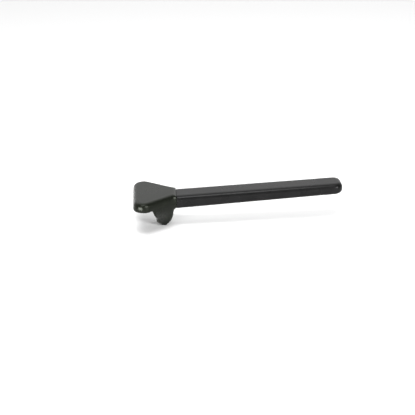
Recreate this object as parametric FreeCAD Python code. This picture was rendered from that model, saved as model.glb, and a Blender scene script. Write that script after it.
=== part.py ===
import FreeCAD, Part
import math
import os

from FreeCAD import Vector

os.makedirs("parts", exist_ok=True)

# A one-hand lever that lifts the rim of a vacuum-sealed jar lid. Millimetres, +X from the head to the
# handle's end, +Z up, mirrored about Y = 0. Z = 0 is the plane that rests on the lid, and the origin is
# the middle of the flat lip behind the head's front edge.

# --- driving dimensions -------------------------------------------------------------------------------
OVERALL_LENGTH = 132.7

HEAD_WIDTH = 44.0
HEAD_LENGTH = 27.5
PLATE_THICKNESS = 6.0
SIDE_TAPER = 37.2  # degrees between each side of the head and the long axis
WALL_LEAN = 12.0  # degrees that the plate's walls lean in as they rise
CORNER_RADIUS = 6.8
NECK_HALF_WIDTH = 8.9
NECK_BLEND = 3.0  # plan radius where the head's sides run into the neck
NECK_INSET = 0.8  # the plate stands this far out from the block and the lug at the neck
NECK_LENGTH = 6.0  # the block under the plate's rear end that the handle butts against
TOP_EDGE_RADIUS = 2.5
SEAT_EDGE_RADIUS = 1.2
LIP_WIDTH = 5.8  # flat band of the seat behind the rounded front edge
FALL_LENGTH = 2.8  # the head's top curves down to the handle's top over this length

MOUTH_HEIGHT = 10.6  # from the seat down to the catch, for a twist-off lid's rim
MOUTH_DEPTH = 15.7  # from the front edge back to the claw wall
CLAW_RADIUS = 43.0  # plan radius of the claw wall and the catch
CATCH_REACH = 1.3  # how far the catch goes in under the rim
LUG_DEPTH = 16.6  # from the seat down to the lug's tip
LUG_TIP_HALF_WIDTH = 4.2
LUG_SIDE_INSET = 0.5  # the plate's edge stands this far out from the lug
CHEEK_REACH = 4.4  # the lug's cheeks run this far forward of the claw wall's middle, round the rim
CHEEK_SWEEP = 6.1  # the cheeks' front edges have curved back by this much at the tip
LUG_REAR_INSET = 0.7  # the lug's back starts this far in front of the head's rear
LUG_REAR_LEAN = 3.2  # the back leans forward by this much down to the tip
LUG_REAR_SWEEP = 4.2  # and curves forward by this much more near the tip
LUG_REAR_TAPER = 3.8  # half-width that the back loses down to the tip
LUG_CORNER_TOP = 1.7
LUG_CORNER_TIP = 0.5
LUG_BURIED = 1.5  # the lug starts this far up inside the plate
LUG_BLUNTING = 0.03  # share of its depth that the lug stops short, which leaves a blunt tip
LUG_SECTIONS = 10

CELL_DEPTH = 2.0  # cored cells under the plate
CELL_RIB = 1.6
CELL_WALL = 3.4
CELL_HALF_WIDTH = 4.4
CELL_CORNER = 0.8

HANDLE_WIDTH = 16.0
HANDLE_THICKNESS_ROOT = 8.6
HANDLE_THICKNESS_END = 7.2
HANDLE_STEP = 1.1  # the handle's top lies this far under the head's top
HANDLE_RISE = 2.5  # degrees that the handle climbs away from the head
HANDLE_EDGE_RADIUS = 3.0
HANDLE_END_RADIUS = 5.2
HANDLE_END_WALL = 8.0  # solid grip beyond the core

CORE_WIDTH = 10.0
CORE_THICKNESS = 3.0
CORE_CORNER = 0.6
TANG_LENGTH = 10.4
FIT_GAP = 0.05

POCKET_FRONT_HALF_WIDTH = 7.4  # the screw pocket at its roof
POCKET_REAR_HALF_WIDTH = 3.6
POCKET_FRONT_HALF_WIDTH_LOW = 2.9  # and just below the lug's tip
POCKET_REAR_HALF_WIDTH_LOW = 1.6
POCKET_LEAN = 1.0  # the pocket's front wall leans back by this much
POCKET_CORNER = 1.2
POCKET_OVERRUN = 1.0  # the pocket's shape ends this far below the lug's tip

SCREW_RADIUS = 1.5
SCREW_HEAD_RADIUS = 2.8
SCREW_HEAD_HEIGHT = 2.0
SCREW_HEAD_ROLL = 0.9
SCREW_END_GAP = 0.3  # the shank ends this far under the tang's top
SCREW_FROM_REAR = 4.6
SCREW_FLOOR = 5.4  # from the handle's middle down to the face that the screw's head bears on
CROSS_LENGTH = 2.8
CROSS_WIDTH = 0.7
CROSS_DEPTH = 1.2
CLAW_THICKNESS = 4.2  # from the claw wall's middle back to the screw pocket

# --- places worked out from them ----------------------------------------------------------------------
LEAN = math.radians(WALL_LEAN)
SEAT_ROLL = SEAT_EDGE_RADIUS / math.tan((math.pi / 2 - LEAN) / 2)  # how far in the seat's rolled edge reaches
FRONT = -(SEAT_ROLL + LIP_WIDTH / 2)
REAR = FRONT + HEAD_LENGTH
CLAW = FRONT + MOUTH_DEPTH
TAPER = math.radians(SIDE_TAPER)
CORNER_REACH = CORNER_RADIUS / math.tan((math.pi / 2 - TAPER) / 2)
SPREAD = HEAD_WIDTH / 2 - CORNER_RADIUS + CORNER_REACH  # half-width where the side and front lines cross
HANDLE_MIDDLE = PLATE_THICKNESS - HANDLE_STEP - HANDLE_THICKNESS_ROOT / 2
NECK = Vector(REAR, 0, HANDLE_MIDDLE)  # the handle's axis starts here and climbs by HANDLE_RISE
HANDLE_END = REAR + (OVERALL_LENGTH - HEAD_LENGTH) / math.cos(math.radians(HANDLE_RISE))
CORE_TOP = HANDLE_MIDDLE + CORE_THICKNESS / 2
CORE_BOTTOM = HANDLE_MIDDLE - CORE_THICKNESS / 2
SCREW_SEAT = HANDLE_MIDDLE - SCREW_FLOOR
SPARE = 5.0  # how far a cutting shape runs past what it cuts


def side_at(x):
    """Half-width of the head's straight side line at one place along the tool."""
    return SPREAD - (x - FRONT) * math.tan(TAPER)


# --- shapes -------------------------------------------------------------------------------------------
def rounded_wire(corners, height=0.0):
    """A closed outline at one height from (x, y, radius) corners, each turned by an arc."""
    places = [Vector(x, y, height) for x, y, _ in corners]
    bends = []
    for index, place in enumerate(places):
        radius = corners[index][2]
        back = (places[index - 1] - place).normalize()
        ahead = (places[(index + 1) % len(places)] - place).normalize()
        half_angle = back.getAngle(ahead) / 2
        inward = (back + ahead).normalize()
        reach = radius / math.tan(half_angle)
        middle = place + inward * (radius / math.sin(half_angle) - radius)
        bends.append((place + back * reach, middle, place + ahead * reach))
    edges = []
    for index, (start, middle, end) in enumerate(bends):
        edges.append(Part.Arc(start, middle, end).toShape())
        edges.append(Part.LineSegment(end, bends[(index + 1) % len(bends)][0]).toShape())
    return Part.Wire(edges)


def mirrored(side):
    """Both sides of an outline whose +Y corners are given from front to rear."""
    return side + [(x, -y, radius) for x, y, radius in reversed(side)]


def prism(corners, low, high):
    """An upright block with the given plan outline."""
    return Part.Face(rounded_wire(corners, low)).extrude(Vector(0, 0, high - low))


def bar(start, end, half_width, low, high, corner_radius):
    """A level block centred on the long axis, with rounded plan corners."""
    side = [(start, half_width, corner_radius), (end, half_width, corner_radius)]
    return prism(mirrored(side), low, high)


def on_handle(shape):
    """Turns a shape modelled on a level axis at the neck onto the handle's rising axis."""
    turned = shape.copy()
    turned.rotate(NECK, Vector(0, 1, 0), -HANDLE_RISE)
    return turned


def edges_where(shape, test):
    """The edges whose middle point passes the test."""
    chosen = []
    for edge in shape.Edges:
        middle = edge.valueAt((edge.FirstParameter + edge.LastParameter) / 2)
        if test(middle):
            chosen.append(edge)
    return chosen


def edges_at_height(shape, height):
    """The edges that lie at one height."""
    return edges_where(shape, lambda point: abs(point.z - height) < 1e-6)


# --- the head -----------------------------------------------------------------------------------------
def plate_outline(height):
    """The plate's outline at one height."""
    inset = height * math.tan(LEAN)
    front = FRONT + inset
    spread = side_at(front) - inset / math.cos(TAPER)
    neck_half = NECK_HALF_WIDTH - inset
    neck_start = front + (spread - neck_half) / math.tan(TAPER)
    return rounded_wire(mirrored([
        (front, spread, CORNER_RADIUS - inset),
        (neck_start, neck_half, NECK_BLEND + inset),
        (REAR + 2 * SPARE, neck_half, SPARE),
    ]), height)


def head_plate():
    """The triangular plate that lies on the lid, with leaning walls and its edges rolled over all round."""
    plate = Part.makeLoft([plate_outline(0.0), plate_outline(PLATE_THICKNESS)], True, True)
    plate = plate.makeFillet(TOP_EDGE_RADIUS, edges_at_height(plate, PLATE_THICKNESS))
    plate = plate.makeFillet(SEAT_EDGE_RADIUS, edges_at_height(plate, 0.0))
    beyond = Part.makeBox(3 * SPARE, 4 * SPARE, 4 * SPARE, Vector(REAR, -2 * SPARE, -2 * SPARE))
    return plate.cut([beyond, above_fall()])


def above_fall():
    """The space over the head's rear end, where the top curves down to meet the handle's top."""
    half_turn = math.atan(HANDLE_STEP / FALL_LENGTH)
    radius = FALL_LENGTH / math.sin(2 * half_turn)
    start = REAR - FALL_LENGTH
    along = Vector(0, 1, 0)
    space = Part.makeBox(FALL_LENGTH + SPARE, 4 * SPARE, HANDLE_STEP + SPARE,
                         Vector(start, -2 * SPARE, PLATE_THICKNESS - HANDLE_STEP))
    curve = Part.makeCylinder(radius, 4 * SPARE, Vector(start, -2 * SPARE, PLATE_THICKNESS - radius), along)
    return space.cut(curve)


def neck():
    """The block under the plate's rear end, as deep as the handle and with its bottom edges rolled."""
    half_width = NECK_HALF_WIDTH - NECK_INSET
    low = HANDLE_MIDDLE - HANDLE_THICKNESS_ROOT / 2
    corner = Vector(REAR - NECK_LENGTH, -half_width, low)
    block = Part.makeBox(NECK_LENGTH, 2 * half_width, PLATE_THICKNESS / 2 - low, corner)

    def long_and_low(point):
        return point.z < low + 1e-6 and abs(point.y) > half_width - 1e-6

    return block.makeFillet(HANDLE_EDGE_RADIUS, edges_where(block, long_and_low))


def lug_section(height):
    """The lug's outline at one height: flush with the head's sides above, a rounded tongue below."""
    depth = max(0.0, -height / LUG_DEPTH)
    top_front = CLAW - CHEEK_REACH
    front = top_front + CHEEK_SWEEP * depth ** 4
    rear = REAR - LUG_REAR_INSET - LUG_REAR_LEAN * depth - LUG_REAR_SWEEP * depth ** 6
    top_half = side_at(top_front) - LUG_SIDE_INSET
    narrowing = math.cos(depth * math.pi / 2) ** 1.6
    half_front = LUG_TIP_HALF_WIDTH + (top_half - LUG_TIP_HALF_WIDTH) * narrowing
    half_rear = NECK_HALF_WIDTH - NECK_INSET - LUG_REAR_TAPER * depth ** 1.5
    corner = LUG_CORNER_TIP + (LUG_CORNER_TOP - LUG_CORNER_TIP) * (1 - depth ** 3)
    return rounded_wire(mirrored([(front, half_front, corner), (rear, half_rear, corner)]), height)


def lug():
    """The rounded lug under the back of the head, from just inside the plate down to its tip."""
    tip = -(1 - LUG_BLUNTING) * LUG_DEPTH
    step = (tip - LUG_BURIED) / (LUG_SECTIONS - 1)
    sections = [lug_section(LUG_BURIED + index * step) for index in range(LUG_SECTIONS)]
    return Part.makeLoft(sections, True, False)


def rim_space(radius, low, high):
    """A round block about the lid's axis; at CLAW_RADIUS it touches the claw wall's middle."""
    return Part.makeCylinder(radius, high - low, Vector(CLAW - CLAW_RADIUS, 0, low))


def seat_cells():
    """Three shallow cored cells under the plate, with ribs left between them."""
    start = FRONT + SEAT_ROLL + LIP_WIDTH
    end = CLAW - CELL_WALL
    wall = CELL_WALL / math.cos(TAPER)
    inner = CELL_HALF_WIDTH + CELL_RIB
    cells = [bar(start, end, CELL_HALF_WIDTH, 0.0, CELL_DEPTH, CELL_CORNER)]
    for side in (1, -1):
        outline = [
            (start, side * inner, CELL_CORNER),
            (start, side * (side_at(start) - wall), CELL_CORNER),
            (end, side * (side_at(end) - wall), CELL_CORNER),
            (end, side * inner, CELL_CORNER),
        ]
        cells.append(prism(outline, 0.0, CELL_DEPTH))
    return cells


def screw_pocket():
    """The cored space behind the claw wall, open behind and below, which the screw is driven through."""
    front = CLAW + CLAW_THICKNESS
    rear = REAR + SPARE
    top = rounded_wire(mirrored([
        (front, POCKET_FRONT_HALF_WIDTH, POCKET_CORNER),
        (rear, POCKET_REAR_HALF_WIDTH, POCKET_CORNER),
    ]), SCREW_SEAT)
    bottom = rounded_wire(mirrored([
        (front + POCKET_LEAN, POCKET_FRONT_HALF_WIDTH_LOW, POCKET_CORNER),
        (rear, POCKET_REAR_HALF_WIDTH_LOW, POCKET_CORNER),
    ]), -LUG_DEPTH - POCKET_OVERRUN)
    return Part.makeLoft([top, bottom], True, True)


def tang_socket():
    """The slot in the neck that holds the core's tang."""
    return on_handle(bar(
        REAR - TANG_LENGTH - FIT_GAP, REAR + SPARE, CORE_WIDTH / 2 + FIT_GAP,
        CORE_BOTTOM - FIT_GAP, CORE_TOP + FIT_GAP, CORE_CORNER,
    ))


def screw_hole():
    """A round clearance hole from the pocket up to the top of the tang."""
    low = SCREW_SEAT - SPARE
    return Part.makeCylinder(SCREW_RADIUS + FIT_GAP, CORE_TOP - low, Vector(REAR - SCREW_FROM_REAR, 0, low))


def head():
    """The moulded head: plate, neck, lug, claw wall and catch, with its socket and cored spaces."""
    mouth = rim_space(CLAW_RADIUS, -MOUTH_HEIGHT, 0.0)
    under_rim = rim_space(CLAW_RADIUS - CATCH_REACH, -LUG_DEPTH, -MOUTH_HEIGHT)
    body = head_plate().fuse([neck(), lug().cut([mouth, under_rim])]).removeSplitter()
    return body.cut(seat_cells() + [screw_pocket(), tang_socket(), screw_hole()])


# --- the handle ---------------------------------------------------------------------------------------
def handle_core():
    """The flat steel bar that carries the load from the head to the handle's end."""
    core = bar(REAR - TANG_LENGTH, HANDLE_END - HANDLE_END_WALL, CORE_WIDTH / 2,
               CORE_BOTTOM, CORE_TOP, CORE_CORNER)
    return on_handle(core).cut(screw_hole())


def grip():
    """The moulded grip: a flat-topped bar with rolled edges, thinner towards its rounded end."""
    half_width = HANDLE_WIDTH / 2
    half_root = HANDLE_THICKNESS_ROOT / 2
    half_end = HANDLE_THICKNESS_END / 2
    root = REAR - 2 * SPARE  # the bar is rolled with a spare length at its root, then cut off square
    root_corner = 1.0
    half_root += (half_root - half_end) * 2 * SPARE / (HANDLE_END - REAR)
    plan = prism(
        mirrored([(root, half_width, root_corner), (HANDLE_END, half_width, HANDLE_END_RADIUS)]),
        HANDLE_MIDDLE - half_root, HANDLE_MIDDLE + half_root,
    )
    side = [(root, -half_root), (HANDLE_END, -half_end), (HANDLE_END, half_end), (root, half_root)]
    profile = [Vector(x, -half_width, HANDLE_MIDDLE + z) for x, z in side + side[:1]]
    wedge = Part.Face(Part.makePolygon(profile)).extrude(Vector(0, HANDLE_WIDTH, 0))
    outer = plan.common(wedge)

    def rolled(point):
        return abs(point.z - HANDLE_MIDDLE) > half_end - FIT_GAP and point.x > root + SPARE

    outer = outer.makeFillet(HANDLE_EDGE_RADIUS, edges_where(outer, rolled))
    corner = Vector(REAR - 3 * SPARE, -2 * SPARE, -2 * SPARE)
    inside_head = Part.makeBox(3 * SPARE, 4 * SPARE, 4 * SPARE, corner)
    cavity = bar(
        REAR - SPARE, HANDLE_END - HANDLE_END_WALL + FIT_GAP, CORE_WIDTH / 2 + FIT_GAP,
        CORE_BOTTOM - FIT_GAP, CORE_TOP + FIT_GAP, CORE_CORNER,
    )
    return on_handle(outer.cut(cavity)).cut(inside_head)


def retaining_screw():
    """A pan-head screw with a cross recess, driven up through the pocket's roof into the tang."""
    seat = Vector(REAR - SCREW_FROM_REAR, 0, SCREW_SEAT)
    crown = seat - Vector(0, 0, SCREW_HEAD_HEIGHT)
    shank = Part.makeCylinder(SCREW_RADIUS, CORE_TOP - SCREW_END_GAP - SCREW_SEAT, seat)
    cap = Part.makeCylinder(SCREW_HEAD_RADIUS, SCREW_HEAD_HEIGHT, crown)
    cap = cap.makeFillet(SCREW_HEAD_ROLL, edges_at_height(cap, crown.z))
    blades = []
    for turn in (0, 90):
        blade = Part.makeBox(CROSS_LENGTH, CROSS_WIDTH, CROSS_DEPTH)
        blade.translate(Vector(-CROSS_LENGTH / 2, -CROSS_WIDTH / 2, 0))
        blade.rotate(Vector(0, 0, 0), Vector(0, 0, 1), turn)
        blade.translate(crown)
        blades.append(blade)
    return cap.cut(blades).fuse(shank).removeSplitter()


PIECES = {
    "head": head,
    "handle_core": handle_core,
    "grip": grip,
    "retaining_screw": retaining_screw,
}

for name, make in PIECES.items():
    solid = make()
    print(f"{name}: valid {solid.isValid()}, solids {len(solid.Solids)}, volume {solid.Volume:.1f} mm3")
    solid.exportStep(f"parts/{name}.step")
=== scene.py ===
import bmesh
import bpy
import math
import numpy as np
from mathutils import Matrix, Vector


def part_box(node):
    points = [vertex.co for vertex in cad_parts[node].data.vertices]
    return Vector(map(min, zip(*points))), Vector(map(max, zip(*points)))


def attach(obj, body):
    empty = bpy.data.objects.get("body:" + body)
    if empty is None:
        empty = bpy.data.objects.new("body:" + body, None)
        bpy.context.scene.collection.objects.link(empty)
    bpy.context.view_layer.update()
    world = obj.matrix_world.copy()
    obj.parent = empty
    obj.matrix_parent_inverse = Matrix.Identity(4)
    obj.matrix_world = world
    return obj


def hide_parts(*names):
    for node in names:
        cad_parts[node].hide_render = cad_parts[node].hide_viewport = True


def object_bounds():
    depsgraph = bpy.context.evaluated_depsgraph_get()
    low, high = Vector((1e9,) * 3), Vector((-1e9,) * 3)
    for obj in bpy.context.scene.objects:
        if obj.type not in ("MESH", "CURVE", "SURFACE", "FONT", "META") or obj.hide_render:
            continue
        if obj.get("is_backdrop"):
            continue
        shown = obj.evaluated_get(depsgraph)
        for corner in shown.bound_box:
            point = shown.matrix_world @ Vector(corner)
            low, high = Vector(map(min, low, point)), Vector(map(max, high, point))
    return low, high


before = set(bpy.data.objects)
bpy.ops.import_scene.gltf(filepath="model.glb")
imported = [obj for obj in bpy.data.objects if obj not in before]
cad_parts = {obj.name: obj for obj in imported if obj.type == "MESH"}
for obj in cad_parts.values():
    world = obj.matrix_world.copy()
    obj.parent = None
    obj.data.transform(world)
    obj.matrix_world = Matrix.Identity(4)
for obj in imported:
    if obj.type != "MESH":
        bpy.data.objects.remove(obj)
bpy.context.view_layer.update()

MM = 0.001

# Shapes are worked out in millimetres.
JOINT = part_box("grip")[0].x / MM  # the plane where the grip butts against the head
HEAD_QUAD = 0.27  # the size of a quad in each piece's skin
GRIP_QUAD = 0.34
SAME_PLACE = 0.001  # vertices this close are joined
CELL_X = 5.4  # the cored cells' middles under the plate
CELL_Y = 10.8
MARK_DEPTH = 0.16
MARK_EDGE = 0.2  # half the width of a mark's soft edge
MARK_SKIN = 0.5  # only the surface this close to the lowest point takes a mark
HEAD_MARK_RADIUS = 1.3
GRIP_MARK_RADIUS = 2.0
GRIP_MARKS = 4
FIRST_GRIP_MARK = 18.0  # from the joint
LAST_GRIP_MARK = 14.0  # from the grip's end
BAND_STEP = 0.5  # the lug's width is read in level bands this far apart
BAND_HALF_HEIGHT = 0.4
BAND_TOP = -1.0
CORNER_SWELL = 0.15


# --- moulded shapes -----------------------------------------------------------------------------------
def ramp(values, low, high):
    """0 below low, 1 above high and smooth between; high may be under low, which turns it round."""
    share = np.clip((values - low) / (high - low), 0.0, 1.0)
    return share * share * (3.0 - 2.0 * share)


def even_skin(node_name, piece_name, quad):
    """A new piece with a CAD node's shape, rebuilt as an even skin of small quads that lie on its surface."""
    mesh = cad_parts[node_name].data.copy()
    joined = bmesh.new()
    joined.from_mesh(mesh)
    bmesh.ops.remove_doubles(joined, verts=joined.verts, dist=SAME_PLACE * MM)
    joined.to_mesh(mesh)
    joined.free()
    piece = bpy.data.objects.new(piece_name, mesh)
    bpy.context.collection.objects.link(piece)
    remesh = piece.modifiers.new("even_skin", "REMESH")
    remesh.mode = "VOXEL"
    remesh.voxel_size = quad * MM
    remesh.use_smooth_shade = True
    onto_surface = piece.modifiers.new("onto_surface", "SHRINKWRAP")
    onto_surface.wrap_method = "NEAREST_SURFACEPOINT"
    onto_surface.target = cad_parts[node_name]
    evaluated = piece.evaluated_get(bpy.context.evaluated_depsgraph_get())
    piece.data = bpy.data.meshes.new_from_object(evaluated)
    piece.data.name = piece_name
    piece.modifiers.clear()
    return piece


def places_of(piece):
    """The piece's vertices as rows of x, y, z in millimetres."""
    flat = np.empty(3 * len(piece.data.vertices))
    piece.data.vertices.foreach_get("co", flat)
    return flat.reshape(-1, 3) / MM


def move_to(piece, places):
    piece.data.vertices.foreach_set("co", (places * MM).ravel())
    piece.data.update()


def soften(piece, passes, weight=1.0):
    """Rounds edges and creases: vertices move towards their neighbours' middle, most where weight is 1.

    Close to the joint they move across the tool but not along it, so the butting faces stay flat.
    """
    places = places_of(piece)
    across = 0.5 * weight
    along = across * ramp(np.abs(places[:, 0] - JOINT), 0.2, 1.0)
    ends = np.empty(2 * len(piece.data.edges), dtype=np.int64)
    piece.data.edges.foreach_get("vertices", ends)
    start, end = ends.reshape(-1, 2).T
    sources = np.concatenate([start, end])
    targets = np.concatenate([end, start])
    counts = np.bincount(sources, minlength=len(places))
    for _ in range(passes):
        for axis, pull in ((0, along), (1, across), (2, across)):
            column = places[:, axis]
            middles = np.bincount(sources, weights=column[targets], minlength=len(places)) / counts
            places[:, axis] = column + pull * (middles - column)
    move_to(piece, places)


def swell(piece, distance):
    """Moves vertices level and outwards, which gives back the width that softening takes."""
    normals = np.empty(3 * len(piece.data.vertices))
    piece.data.vertices.foreach_get("normal", normals)
    outwards = normals.reshape(-1, 3) * (1.0, 1.0, 0.0)
    move_to(piece, places_of(piece) + outwards * distance[:, None])


def press_marks(piece, centres, radius):
    """Shallow round marks in the underside, as a mould's ejector pins leave."""
    places = places_of(piece)
    for centre in centres:
        away = np.hypot(*(places[:, :2] - centre).T)
        surface = places[away < radius, 2].min()
        on_underside = places[:, 2] < surface + MARK_SKIN
        places[:, 2] += MARK_DEPTH * ramp(away, radius + MARK_EDGE, radius - MARK_EDGE) * on_underside
    move_to(piece, places)


def lug_half_width(y, z):
    """The lug's half-width at each vertex's height, read off the skin in thin level bands."""
    levels = np.arange(z.min(), BAND_TOP, BAND_STEP)
    widths = [np.abs(y[np.abs(z - level) < BAND_HALF_HEIGHT]).max() for level in levels]
    return np.interp(z, levels, widths)


def moulded_head():
    """The head with soft moulded edges: a rounded tip, and cheeks that flow into the plate's rolled edge.

    Each zone below is a weight, and each of its ramps runs from where the weight is 0 to where it is 1.
    """
    piece = even_skin("head", "head_moulding", HEAD_QUAD)
    x, y, z = places_of(piece).T
    from_middle = np.abs(y)
    to_joint = JOINT - x
    from_cheek = lug_half_width(y, z) - from_middle
    clear_of_joint = ramp(to_joint, 0.3, 1.0)
    beside_cell = ramp(from_middle, 5.5, 7.0) * ramp(x, 6.0, 9.0)

    # The whole lug, the edges between the claw wall and the cheeks, and the catch's ends on those edges.
    lug = ramp(z, -1.0, -2.0) * ramp(to_joint, 0.5, 2.0)
    claw_edges = ramp(from_cheek, 3.4, 1.6) * ramp(x, 14.5, 12.5) * ramp(z, -1.5, -3.0)
    catch_ends = ramp(from_cheek, 5.5, 2.5) * ramp(x, 15.0, 13.0) * ramp(z, -6.5, -8.5)

    # The lug's tip, the creases where the cheeks leave the plate, and the catch.
    tip = ramp(z, -11.5, -14.0)
    cheek_crease = ramp(z, -4.5, -2.0) * ramp(z, 2.6, 1.4) * beside_cell * clear_of_joint
    catch = ramp(x, 13.5, 12.0) * ramp(z, -8.8, -9.8) * ramp(z, -14.0, -12.5)

    # The plate's front corners, and the crease between the lug's back and the neck.
    front_corners = ramp(x, 4.0, 1.0) * ramp(from_middle, 13.0, 16.0)
    back_height = ramp(z, -2.6, -3.4) * ramp(z, -8.0, -6.0)
    back_crease = ramp(to_joint, 4.5, 2.5) * back_height * clear_of_joint

    soften(piece, 9)
    soften(piece, 25, lug)
    soften(piece, 110, claw_edges)
    soften(piece, 160, catch_ends)
    soften(piece, 45, tip)
    soften(piece, 60, cheek_crease)
    soften(piece, 25, catch)
    soften(piece, 35, front_corners)
    swell(piece, CORNER_SWELL * front_corners)
    soften(piece, 60, back_crease)
    press_marks(piece, [(CELL_X, 0.0), (CELL_X, CELL_Y), (CELL_X, -CELL_Y)], HEAD_MARK_RADIUS)
    return piece


def moulded_grip():
    """The grip with soft moulded edges and a row of ejector marks along its underside."""
    piece = even_skin("grip", "grip_moulding", GRIP_QUAD)
    end = places_of(piece)[:, 0].max()
    marks = np.linspace(JOINT + FIRST_GRIP_MARK, end - LAST_GRIP_MARK, GRIP_MARKS)
    soften(piece, 8)
    press_marks(piece, [(mark, 0.0) for mark in marks], GRIP_MARK_RADIUS)
    return piece


# --- materials ----------------------------------------------------------------------------------------
def new_material(name):
    """A material with only its output and a Principled shader, and the shader itself."""
    material = bpy.data.materials.new(name)
    material.use_nodes = True
    tree = material.node_tree
    tree.nodes.clear()
    output = tree.nodes.new("ShaderNodeOutputMaterial")
    shader = tree.nodes.new("ShaderNodeBsdfPrincipled")
    tree.links.new(shader.outputs["BSDF"], output.inputs["Surface"])
    return material, shader


def node(tree, kind, settings=None, **inputs):
    """A shader node; inputs are numbers, colours or the sockets that feed them."""
    made = tree.nodes.new(kind)
    for name, value in (settings or {}).items():
        setattr(made, name, value)
    for name, value in inputs.items():
        socket = made.inputs[name.replace("_", " ")]
        if isinstance(value, bpy.types.NodeSocket):
            tree.links.new(value, socket)
        else:
            socket.default_value = value
    return made


def own_place(tree):
    """Each point's place on its own piece."""
    return node(tree, "ShaderNodeTexCoord").outputs["Object"]


def noise(tree, size, detail=3.0):
    """Smooth noise with features about size millimetres across."""
    texture = node(tree, "ShaderNodeTexNoise", Vector=own_place(tree), Scale=1.0 / (size * MM), Detail=detail)
    return texture.outputs["Fac"]


def relief(tree, shader, height, depth):
    """Fine relief in the surface, depth millimetres deep."""
    bump = node(tree, "ShaderNodeBump", Height=height, Distance=depth * MM, Strength=1.0)
    tree.links.new(bump.outputs["Normal"], shader.inputs["Normal"])


def spread(tree, value, low, high, to_low, to_high):
    """The value, taken from one range to another and held at its ends."""
    made = node(tree, "ShaderNodeMapRange", {"interpolation_type": "SMOOTHSTEP"}, Value=value)
    made.inputs["From Min"].default_value = low
    made.inputs["From Max"].default_value = high
    made.inputs["To Min"].default_value = to_low
    made.inputs["To Max"].default_value = to_high
    return made.outputs["Result"]


def mix_colour(tree, share, first, second):
    made = node(tree, "ShaderNodeMix", {"data_type": "RGBA"}, Factor=share)
    for name, colour in (("A", first), ("B", second)):
        if isinstance(colour, bpy.types.NodeSocket):
            tree.links.new(colour, made.inputs[name])
        else:
            made.inputs[name].default_value = (*colour, 1.0)
    return made.outputs["Result"]


def moulded_plastic(name, dark, light, worn, grain_depth, tint):
    """Near-black moulded plastic: spark-eroded grain, slow mottling, handling smudges and rubbed edges."""
    material, shader = new_material(name)
    tree = material.node_tree
    edge = node(tree, "ShaderNodeNewGeometry").outputs["Pointiness"]
    rubbed = spread(tree, edge, 0.58, 0.66, 0.0, 0.6)
    patches = spread(tree, noise(tree, 9.0), 0.25, 0.75, 0.0, 1.0)
    mottled = mix_colour(tree, patches, dark, light)
    tree.links.new(mix_colour(tree, rubbed, mottled, worn), shader.inputs["Base Color"])
    shiny, dull = PLASTIC_ROUGHNESS - 0.02, PLASTIC_ROUGHNESS + 0.04
    smudges = spread(tree, noise(tree, 14.0, 2.0), 0.2, 0.8, shiny, dull)
    tree.links.new(smudges, shader.inputs["Roughness"])
    relief(tree, shader, noise(tree, 0.32), grain_depth)
    shader.inputs["Specular IOR Level"].default_value = PLASTIC_GLOSS
    shader.inputs["Specular Tint"].default_value = (*tint, 1.0)
    return material


def steel(name, colour, roughness):
    """Plain steel, a little duller in patches, and its shader."""
    material, shader = new_material(name)
    tree = material.node_tree
    shader.inputs["Base Color"].default_value = (*colour, 1.0)
    shader.inputs["Metallic"].default_value = 1.0
    patches = spread(tree, noise(tree, 1.5), 0.3, 0.7, roughness - 0.04, roughness + 0.06)
    tree.links.new(patches, shader.inputs["Roughness"])
    return material, shader


def rolled_steel(name, colour, roughness):
    """Flat bar with fine lines along it from the rolls."""
    material, shader = steel(name, colour, roughness)
    tree = material.node_tree
    stretch = (0.3 / MM, 6.0 / MM, 6.0 / MM)  # much finer across the bar than along it
    stretched = node(tree, "ShaderNodeMapping", Vector=own_place(tree), Scale=stretch).outputs["Vector"]
    lines = node(tree, "ShaderNodeTexNoise", Vector=stretched, Scale=1.0).outputs["Fac"]
    relief(tree, shader, lines, STEEL_RELIEF)
    return material


def turned_steel(name, colour, roughness, axis):
    """Steel with fine rings round an upright axis, as a lathe leaves."""
    material, shader = steel(name, colour, roughness)
    tree = material.node_tree
    shift = (-axis.x, -axis.y, 0.0)
    centred = node(tree, "ShaderNodeMapping", Vector=own_place(tree), Location=shift).outputs["Vector"]
    rings = node(tree, "ShaderNodeTexWave", {"wave_type": "RINGS", "rings_direction": "Z"},
                 Vector=centred, Scale=1.5 / MM, Distortion=0.6)
    relief(tree, shader, rings.outputs["Fac"], STEEL_RELIEF)
    return material


def give_material(piece, material):
    piece.data.materials.clear()
    piece.data.materials.append(material)


def stand_for(piece, node_name, material):
    """The piece is shown instead of the CAD node and rides where that node does."""
    give_material(piece, material)
    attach(piece, "root")
    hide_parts(node_name)


PLASTIC_ROUGHNESS = 0.27
PLASTIC_GLOSS = 0.13
STEEL_RELIEF = 0.004
screw_low, screw_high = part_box("retaining_screw")

HEAD_PLASTIC = moulded_plastic(
    "head_plastic", dark=(0.004, 0.0046, 0.0034), light=(0.006, 0.007, 0.005), worn=(0.012, 0.013, 0.011),
    grain_depth=0.006, tint=(0.95, 1.0, 0.88),
)
GRIP_PLASTIC = moulded_plastic(
    "grip_plastic", dark=(0.004, 0.004, 0.004), light=(0.006, 0.006, 0.006), worn=(0.012, 0.012, 0.012),
    grain_depth=0.004, tint=(1.0, 1.0, 1.0),
)
CORE_STEEL = rolled_steel("core_steel", colour=(0.42, 0.42, 0.41), roughness=0.40)
SCREW_STEEL = turned_steel(
    "screw_steel", colour=(0.56, 0.56, 0.55), roughness=0.30, axis=(screw_low + screw_high) / 2,
)

stand_for(moulded_head(), "head", HEAD_PLASTIC)
stand_for(moulded_grip(), "grip", GRIP_PLASTIC)
give_material(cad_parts["handle_core"], CORE_STEEL)
give_material(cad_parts["retaining_screw"], SCREW_STEEL)


# --- floor, light and camera --------------------------------------------------------------------------
def direction(azimuth, elevation):
    """A unit vector from the part towards a place; azimuth 0 is the near side, and it turns towards +X."""
    a, e = math.radians(azimuth), math.radians(elevation)
    return Vector((math.sin(a) * math.cos(e), -math.cos(a) * math.cos(e), math.sin(e)))


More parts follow.
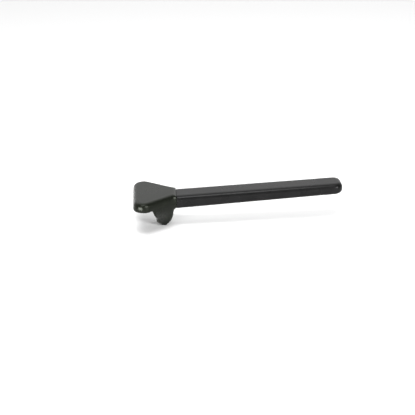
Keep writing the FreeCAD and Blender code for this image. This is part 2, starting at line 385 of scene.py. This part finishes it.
def plain_floor(height):
    """A wide pale floor."""
    bpy.ops.mesh.primitive_plane_add(size=FLOOR_SIZE, location=(0, 0, height))
    floor = bpy.context.object
    floor.name = "floor"
    material, shader = new_material("floor_paper")
    shader.inputs["Base Color"].default_value = (FLOOR_GREY, FLOOR_GREY, FLOOR_GREY, 1.0)
    shader.inputs["Roughness"].default_value = FLOOR_ROUGHNESS
    shader.inputs["Specular IOR Level"].default_value = FLOOR_GLOSS
    give_material(floor, material)
    floor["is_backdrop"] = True


def soft_light(name, azimuth, elevation, distance, size, power):
    """A rectangular area light that faces the part, size metres wide and high."""
    lamp = bpy.data.lights.new(name, "AREA")
    lamp.shape = "RECTANGLE"
    lamp.size, lamp.size_y = size
    lamp.energy = power
    lamp_object = bpy.data.objects.new(name, lamp)
    bpy.context.collection.objects.link(lamp_object)
    back = direction(azimuth, elevation)
    lamp_object.location = CENTRE + back * distance
    lamp_object.rotation_euler = (-back).to_track_quat("-Z", "Y").to_euler()


def backdrop_light(near, far):
    """A white room, brighter on the far side than on the near side."""
    world = bpy.data.worlds.new("studio")
    world.use_nodes = True
    bpy.context.scene.world = world
    tree = world.node_tree
    towards = node(tree, "ShaderNodeTexCoord").outputs["Generated"]
    depth = node(tree, "ShaderNodeSeparateXYZ", Vector=towards).outputs["Y"]
    background = tree.nodes["Background"]
    background.inputs["Color"].default_value = (1.0, 1.0, 1.0, 1.0)
    tree.links.new(spread(tree, depth, 0.0, 0.6, near, far), background.inputs["Strength"])


FLOOR_SIZE = 30.0
FLOOR_GREY = 0.86
FLOOR_ROUGHNESS = 0.9
FLOOR_GLOSS = 0.1
CENTRE = Vector((62.0, 0.0, 0.0)) * MM  # the lamps and the camera stand round this place
SENSOR_WIDTH = 36.0
CAMERA_AZIMUTH = -4.77
CAMERA_ELEVATION = 21.9
CAMERA_ROLL = -1.25
CAMERA_DISTANCE = 0.7
CAMERA_LENS = 95.7
AIM_LEFT = 19.15 * MM
AIM_DOWN = 6.5 * MM


def main_camera():
    data = bpy.data.cameras.new("camera")
    data.sensor_width = SENSOR_WIDTH
    data.lens = CAMERA_LENS
    camera = bpy.data.objects.new("camera", data)
    bpy.context.collection.objects.link(camera)
    back = direction(CAMERA_AZIMUTH, CAMERA_ELEVATION)
    right = Vector((0, 0, 1)).cross(back).normalized()
    up = back.cross(right)
    camera.location = CENTRE + back * CAMERA_DISTANCE
    aim = CENTRE - right * AIM_LEFT - up * AIM_DOWN
    facing = (aim - camera.location).to_track_quat("-Z", "Y").to_matrix().to_4x4()
    roll = Matrix.Rotation(math.radians(CAMERA_ROLL), 4, "Z")
    camera.matrix_world = Matrix.Translation(camera.location) @ facing @ roll
    data.clip_start, data.clip_end = 0.01, 100.0
    bpy.context.scene.camera = camera


plain_floor(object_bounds()[0].z)
backdrop_light(near=0.10, far=1.25)
soft_light("overhead", azimuth=-18.0, elevation=70.0, distance=1.2, size=(0.6, 0.45), power=10.5)
soft_light("front_left", azimuth=-39.0, elevation=5.0, distance=0.9, size=(0.6, 0.14), power=15.0)
soft_light("front_right", azimuth=35.0, elevation=18.0, distance=0.9, size=(0.16, 0.12), power=7.5)
soft_light("far", azimuth=180.0, elevation=60.0, distance=3.0, size=(3.0, 3.0), power=28.0)
main_camera()
bpy.context.scene.view_settings.view_transform = "Standard"
